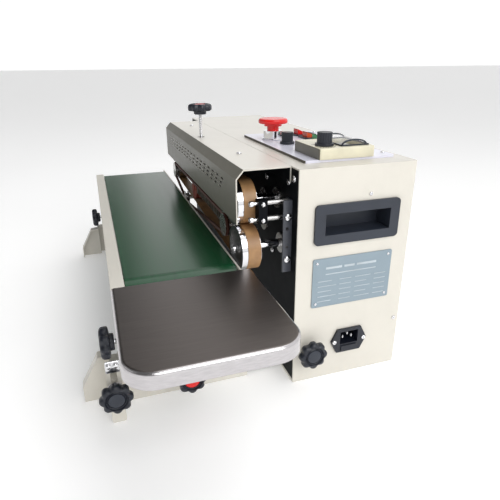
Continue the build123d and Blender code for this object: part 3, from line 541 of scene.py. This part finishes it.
def make_knob(node, turn, cap, root=2.6, crest=3.0):
    """A lobed knob with its cap and threaded stud, where the CAD knob is."""
    low, high = (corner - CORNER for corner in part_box(node))
    low, high = low / MM, high / MM
    middle = (low + high) / 2
    axis = turn @ Vector((0, 0, 1, 0))
    along = [abs(value) > 0.5 for value in axis].index(True)
    face = high[along] if axis[along] > 0 else low[along]
    base = middle.copy()
    base[along] = face - axis[along] * KNOB_BACK
    matrix = from_corner(*base) @ turn
    head = piece(node + "_head", lathe(KNOB_PROFILE, 128, lobed), KNOB, node, matrix)
    piece(node + "_cap", lathe(CAP_PROFILE), cap, node, matrix)
    length = high[along] - low[along] - KNOB_BACK
    piece(node + "_stud", lathe(threaded(root, crest, length), 32), CHROME, node, matrix)
    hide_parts(node)


def make_knobs():
    """All six star knobs."""
    make_knob("knob_height_post", TURN_TO_X, SLATE)
    make_knob("knob_case_end", TURN_TO_X, SLATE)
    make_knob("knob_beam", TURN_TO_X, RED)
    make_knob("knob_leg_outfeed", TURN_TO_FRONT, RED)
    make_knob("knob_leg_infeed", TURN_TO_FRONT, RED)
    make_knob("pressure_knob", Matrix.Identity(4), RED, 2.1, 2.4)


# ---- pressure spring --------------------------------------------------------------------------------------
SPRING_PLACE = (-260.5, -42.0)
SPRING_RADIUS, WIRE_RADIUS = 5.4, 0.7
SPRING_LOW, SPRING_HIGH = 247.1, 258.7
SPRING_TURNS = 4


def coil(radius, wire, low, high, turns, steps=40, sides=10):
    """A round wire wound about Z, closed at both ends."""
    mesh = bmesh.new()
    climb = (high - low) / (2 * math.pi * turns)
    rings = []
    for index in range(turns * steps + 1):
        angle = 2 * math.pi * index / steps
        outward = Vector((math.cos(angle), math.sin(angle), 0))
        along = Vector((-radius * math.sin(angle), radius * math.cos(angle), climb)).normalized()
        across = along.cross(outward)
        centre = outward * radius + Vector((0, 0, low + climb * angle))
        ring = []
        for side in range(sides):
            turn = 2 * math.pi * side / sides
            ring.append(mesh.verts.new(centre + (outward * math.cos(turn) + across * math.sin(turn)) * wire))
        rings.append(ring)
    for first, second in zip(rings, rings[1:]):
        for side in range(sides):
            following = (side + 1) % sides
            mesh.faces.new((first[side], first[following], second[following], second[side]))
    mesh.faces.new(rings[0])
    mesh.faces.new(rings[-1])
    return mesh


def make_spring():
    """The pressure spring, wound as a coil in place of the CAD spring, with a mesh of its own."""
    wound = coil(SPRING_RADIUS, WIRE_RADIUS, SPRING_LOW, SPRING_HIGH, SPRING_TURNS)
    spring = piece("pressure_spring_coil", wound, STEEL, "machine",
                   from_corner(*SPRING_PLACE, 0))
    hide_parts("pressure_spring")
    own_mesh(spring)


# ---- controls ---------------------------------------------------------------------------------------------
PANEL_TOP = 266.7
CONTROLLER_TOP = 278.7
DIAL = (-43.0, 49.0)
SPEED = (-139.0, 45.0)
ESTOP = (-183.0, 42.0)
METER = (-84.0, -32.0, 65.0, 97.0)
ROCKERS = {"rocker_red": -206.0, "rocker_amber": -175.0, "rocker_green": -144.0}
ROCKER_Y = 98.0
ROCKER_MIDDLE, ROCKER_SLOPE = 4.0, 5.0 / 11.2
INK = plastic("printed_ink", (0.02, 0.02, 0.025), 0.5, 0.02)
WHITE = plastic("white_print", (0.82, 0.82, 0.80), 0.5, 0.02)
CARD = plastic("scale_card", (0.74, 0.74, 0.70), 0.6, 0.02)
PRINT = plastic("plate_print", (0.50, 0.56, 0.60), 0.5, 0.02)


DIAL_TICKS, DIAL_FIRST, DIAL_STEP, DIAL_LONG = 21, -45, 13.5, 5
METER_TICKS, METER_FIRST, METER_STEP, METER_LONG = 25, 48, 3.5, 6
METER_REACH, METER_PIVOT_Y = 20.5, 5
METER_PRINT_Z = CONTROLLER_TOP - 4.76
SPEED_TOP, DIAL_TOP = PANEL_TOP + 15, CONTROLLER_TOP + 15
RIB_OFFSETS = (-9.4, -7.6, -5.8, -4.0)
RIB_HALF_X, RIB_HALF_Y, RIB_DEPTH, RIB_HEIGHT = 6.2, 0.4, 0.4, 0.5
RING_PROFILE = ((13.05, 0.05), (14.6, 0.05), (15.0, 0.4), (15.0, 1.5), (14.6, 2.0), (13.4, 2.0),
                (13.05, 1.6), (13.05, 0.05))


def add_tick(mesh, centre, angle, r0, r1, width, z):
    """One printed tick, radial about a centre."""
    bar = bmesh.new()
    add_box(bar, (r0, -width / 2, z), (r1, width / 2, z + 0.12))
    add_mesh(mesh, bar, Matrix.Translation((*centre, 0)) @ Matrix.Rotation(math.radians(angle), 4, "Z"))


def dial_scale(name, centre, r0, z, material):
    """Ring of ticks round a knob, open at the front."""
    ticks = bmesh.new()
    for index in range(DIAL_TICKS):
        extra = 1.6 if index % DIAL_LONG == 0 else 0.0
        add_tick(ticks, centre, DIAL_FIRST + index * DIAL_STEP, r0, r0 + 2.2 + extra, 0.5, z)
    piece(name, ticks, material, "machine", from_corner(0, 0, 0))


def arch(low, high, rise, count=20):
    """Points of a flat elliptical arch between two Y values."""
    middle, half = (low + high) / 2, (high - low) / 2
    angles = [math.pi * index / count for index in range(count + 1)]
    return [(middle - half * math.cos(angle), rise * math.sin(angle) ** 0.8) for angle in angles]


def sweep_arch(mesh, x0, x1, outer, inner, base):
    """A shell between two arches, along X."""
    for side in (0, 1):
        for index in range(len(outer) - 1):
            loop = (outer, inner)[side][index:index + 2]
            corners = [(x, y, base + z) for (y, z), x in zip(loop + loop[::-1], (x0, x0, x1, x1))]
            mesh.faces.new([mesh.verts.new(corner) for corner in corners])
    for x in (x0, x1):
        for index in range(len(outer) - 1):
            loop = outer[index:index + 2] + inner[index:index + 2][::-1]
            mesh.faces.new([mesh.verts.new((x, y, base + z)) for y, z in loop])
    bmesh.ops.remove_doubles(mesh, verts=mesh.verts, dist=0.0005)


def make_meter_window():
    """Arched clear window with its two dark end frames."""
    x0, x1, y0, y1 = METER[0] + 0.2, METER[1] - 0.2, METER[2] + 0.2, METER[3] - 0.2
    window = bmesh.new()
    sweep_arch(window, x0 + 1.4, x1 - 1.4, arch(y0, y1, 6.6), arch(y0 + 1.0, y1 - 1.0, 5.6), CONTROLLER_TOP)
    clear = piece("meter_window", window, GLASS, "machine", from_corner(0, 0, 0))
    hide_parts("meter_glass")
    frames = bmesh.new()
    for low, high in ((x0, x0 + 1.5), (x1 - 1.5, x1)):
        outer, inner = arch(y0 - 0.2, y1 + 0.2, 7.2), arch(y0 + 1.4, y1 - 1.4, 5.4)
        sweep_arch(frames, low, high, outer, inner, CONTROLLER_TOP)
    piece("meter_end_frames", frames, SLATE, "machine", from_corner(0, 0, 0))


def make_meter():
    """Scale card, ticks and black frame of the temperature meter."""
    card = bmesh.new()
    add_box(card, (METER[0] + 1.6, METER[2] + 1.6, CONTROLLER_TOP - 4.95),
            (METER[1] - 1.6, METER[3] - 1.6, CONTROLLER_TOP - 4.75), 0.05)
    piece("meter_card", card, CARD, "machine", from_corner(0, 0, 0))
    pivot = ((METER[0] + METER[1]) / 2, METER[2] + METER_PIVOT_Y)
    ticks = bmesh.new()
    for index in range(METER_TICKS):
        end = METER_REACH + (2.6 if index % METER_LONG == 0 else 1.5)
        add_tick(ticks, pivot, METER_FIRST + index * METER_STEP, METER_REACH, end, 0.35, METER_PRINT_Z)
    piece("meter_ticks", ticks, INK, "machine", from_corner(0, 0, 0))
    make_meter_window()
    border = bmesh.new()
    x0, x1, y0, y1 = METER[0] - 1.6, METER[1] + 1.6, METER[2] - 1.6, METER[3] + 1.6
    top = CONTROLLER_TOP + 1.6
    for low, high in (((x0, y0), (x1, y0 + 1.5)), ((x0, y1 - 1.5), (x1, y1)),
                      ((x0, y0), (x0 + 1.5, y1)), ((x1 - 1.5, y0), (x1, y1))):
        add_box(border, (*low, CONTROLLER_TOP), (*high, top), 0.4)
    piece("meter_border", border, SLATE, "machine", from_corner(0, 0, 0))


def make_controls():
    """Scales, pointer lines, lock ring and rocker ribs."""
    dial_scale("speed_scale", SPEED, 11.5, PANEL_TOP, INK)
    dial_scale("temperature_scale", DIAL, 11.6, CONTROLLER_TOP, INK)
    for name, body, centre, top, reach in (
            ("speed_pointer", "speed_knob", SPEED, SPEED_TOP, 7.5),
            ("temperature_pointer", "temperature_dial", DIAL, DIAL_TOP, 8.5)):
        pointer = bmesh.new()
        add_box(pointer, (-0.45, -reach + 0.6, -0.9), (0.45, -reach / 3, -0.25), 0.15)
        piece(name, pointer, WHITE, body, from_corner(*centre, top))
    ring = lathe(RING_PROFILE, 96)
    piece("emergency_lock_ring", ring, CHROME, "machine", from_corner(*ESTOP, PANEL_TOP))
    for node, x in ROCKERS.items():
        ribs = bmesh.new()
        for offset in RIB_OFFSETS:
            y, z = ROCKER_Y + offset, PANEL_TOP + ROCKER_MIDDLE - offset * ROCKER_SLOPE
            add_box(ribs, (x - RIB_HALF_X, y - RIB_HALF_Y, z - RIB_DEPTH),
                    (x + RIB_HALF_X, y + RIB_HALF_Y, z + RIB_HEIGHT), 0.25)
        piece(node + "_ribs", ribs, SLOT_MATERIAL[SLOT[node]], node, from_corner(0, 0, 0))


# ---- plates, bolts and pins -------------------------------------------------------------------------------
# Outlines for a bolt head of radius 1.
BOLT_PROFILE = (
    (0, 0), (1.0, 0), (1.06, 0.1), (1.06, 0.42), (0.96, 0.62), (0.62, 0.82), (0.3, 0.9), (0, 0.92))
SOCKET_PROFILE = (
    (0, 0), (1.0, 0), (1.0, 1.1), (0.94, 1.22), (0.6, 1.22), (0.55, 1.1), (0.5, 0.5), (0, 0.5))
WASHER_PROFILE = (
    (3.3, 0), (8.6, 0), (8.9, 0.4), (8.6, 1.2), (3.6, 1.4), (3.3, 1.2), (3.3, 0))
SPACER_BOLTS_Z = (207.0, 225.0)
PLATE_BOLTS = ((-10, 252), (-24, 246), (-70, 150), (-90, 238))
UPPER_WHEEL_NUT, LOWER_WHEEL_NUT = (-58, -55.8, 220), (-44, -55.8, 169)
POST_CLIP = ((-0.1, -213.4, 66), (1.9, -198.4, 80))
POST_BOLTS_Y = (-209.8, -202.4)


def bolt(name, body, place, turn, radius, profile=BOLT_PROFILE):
    """A chrome bolt head of a given radius."""
    shape = lathe([(r * radius, z * radius) for r, z in profile], 32)
    piece(name, shape, CHROME, body, from_corner(*place) @ turn)


def make_bolts():
    """Bolts on the spacer block, the wheels, the mounting plate and the height post."""
    for index, z in enumerate(SPACER_BOLTS_Z):
        bolt(f"spacer_bolt_{index}", "machine", (-25, -42, z), TURN_TO_FRONT, 3.4, SOCKET_PROFILE)
        bolt(f"spacer_screw_{index}", "machine", (-19, -32, z), TURN_TO_X, 2.6)
    for index, (x, z) in enumerate(PLATE_BOLTS):
        bolt(f"plate_bolt_{index}", "machine", (x, -0.1, z), TURN_TO_FRONT, 3.4)
    bolt("wheel_nut_upper", "drive_wheel_upper", UPPER_WHEEL_NUT, TURN_TO_FRONT, 3.6, SOCKET_PROFILE)
    bolt("wheel_nut_lower", "drive_wheel_lower", LOWER_WHEEL_NUT, TURN_TO_FRONT, 3.6, SOCKET_PROFILE)
    clip = bmesh.new()
    add_box(clip, *POST_CLIP, 0.6)
    piece("post_clip", clip, CHROME, "conveyor", from_corner(0, 0, 0))
    for index, y in enumerate(POST_BOLTS_Y):
        bolt(f"post_bolt_{index}", "conveyor", (1.8, y, 75), TURN_TO_X, 2.9)
    washer = lathe(WASHER_PROFILE, 48)
    piece("post_washer", washer, CHROME, "stand", from_corner(0.1, -205.9, 44) @ TURN_TO_X)


PLATE_X, PLATE_Y, PLATE_Z = (1.15, 1.3), (20.0, 122.0), (100.0, 161.0)
PLATE_ROWS = 5
# The mains socket's centre, and each blade's offset along Y and height above that centre.
INLET_Y, INLET_Z = 72.6, 48
BLADES = ((-6, 2.5), (0, 6.5), (6, 2.5))
BLADE_X, BLADE_HALF_Y, BLADE_HALF_Z = (-14, -1.6), 1.15, 2.15


def make_data_plate():
    """Plain ruled bars on the rating plate."""
    light = bmesh.new()
    (x0, x1), (y0, y1), (z0, z1) = PLATE_X, PLATE_Y, PLATE_Z

    def bar(share0, share1, low, high):
        add_box(light, (x0, y0 + share0 * (y1 - y0), z0 + low * (z1 - z0)),
                (x1, y0 + share1 * (y1 - y0), z0 + high * (z1 - z0)))

    for start, end in ((0.16, 0.36), (0.39, 0.52), (0.55, 0.80)):
        bar(start, end, 0.775, 0.820)
    bar(0.16, 0.80, 0.665, 0.685)
    for row in range(PLATE_ROWS):
        level = 0.53 - row * 0.105
        bar(0.07, 0.24 + 0.06 * (row % 2), level, level + 0.014)
        bar(0.34, 0.49, level, level + 0.014)
        bar(0.54, 0.74 - 0.05 * (row % 2), level, level + 0.014)
        bar(0.79, 0.94, level, level + 0.014)
    piece("data_plate_rules", light, PRINT, "machine", from_corner(0, 0, 0))


def make_inlet_pins():
    """Three plated blades in the mains socket."""
    pins = bmesh.new()
    for offset, height in BLADES:
        y, z = INLET_Y + offset, INLET_Z + height
        add_box(pins, (BLADE_X[0], y - BLADE_HALF_Y, z - BLADE_HALF_Z),
                (BLADE_X[1], y + BLADE_HALF_Y, z + BLADE_HALF_Z), 0.5)
    piece("inlet_pins", pins, CHROME, "machine", from_corner(0, 0, 0))


dress_cad()
make_knobs()
make_spring()
make_meter()
make_controls()
make_bolts()
make_data_plate()
make_inlet_pins()
make_light()
make_floor()
make_camera()
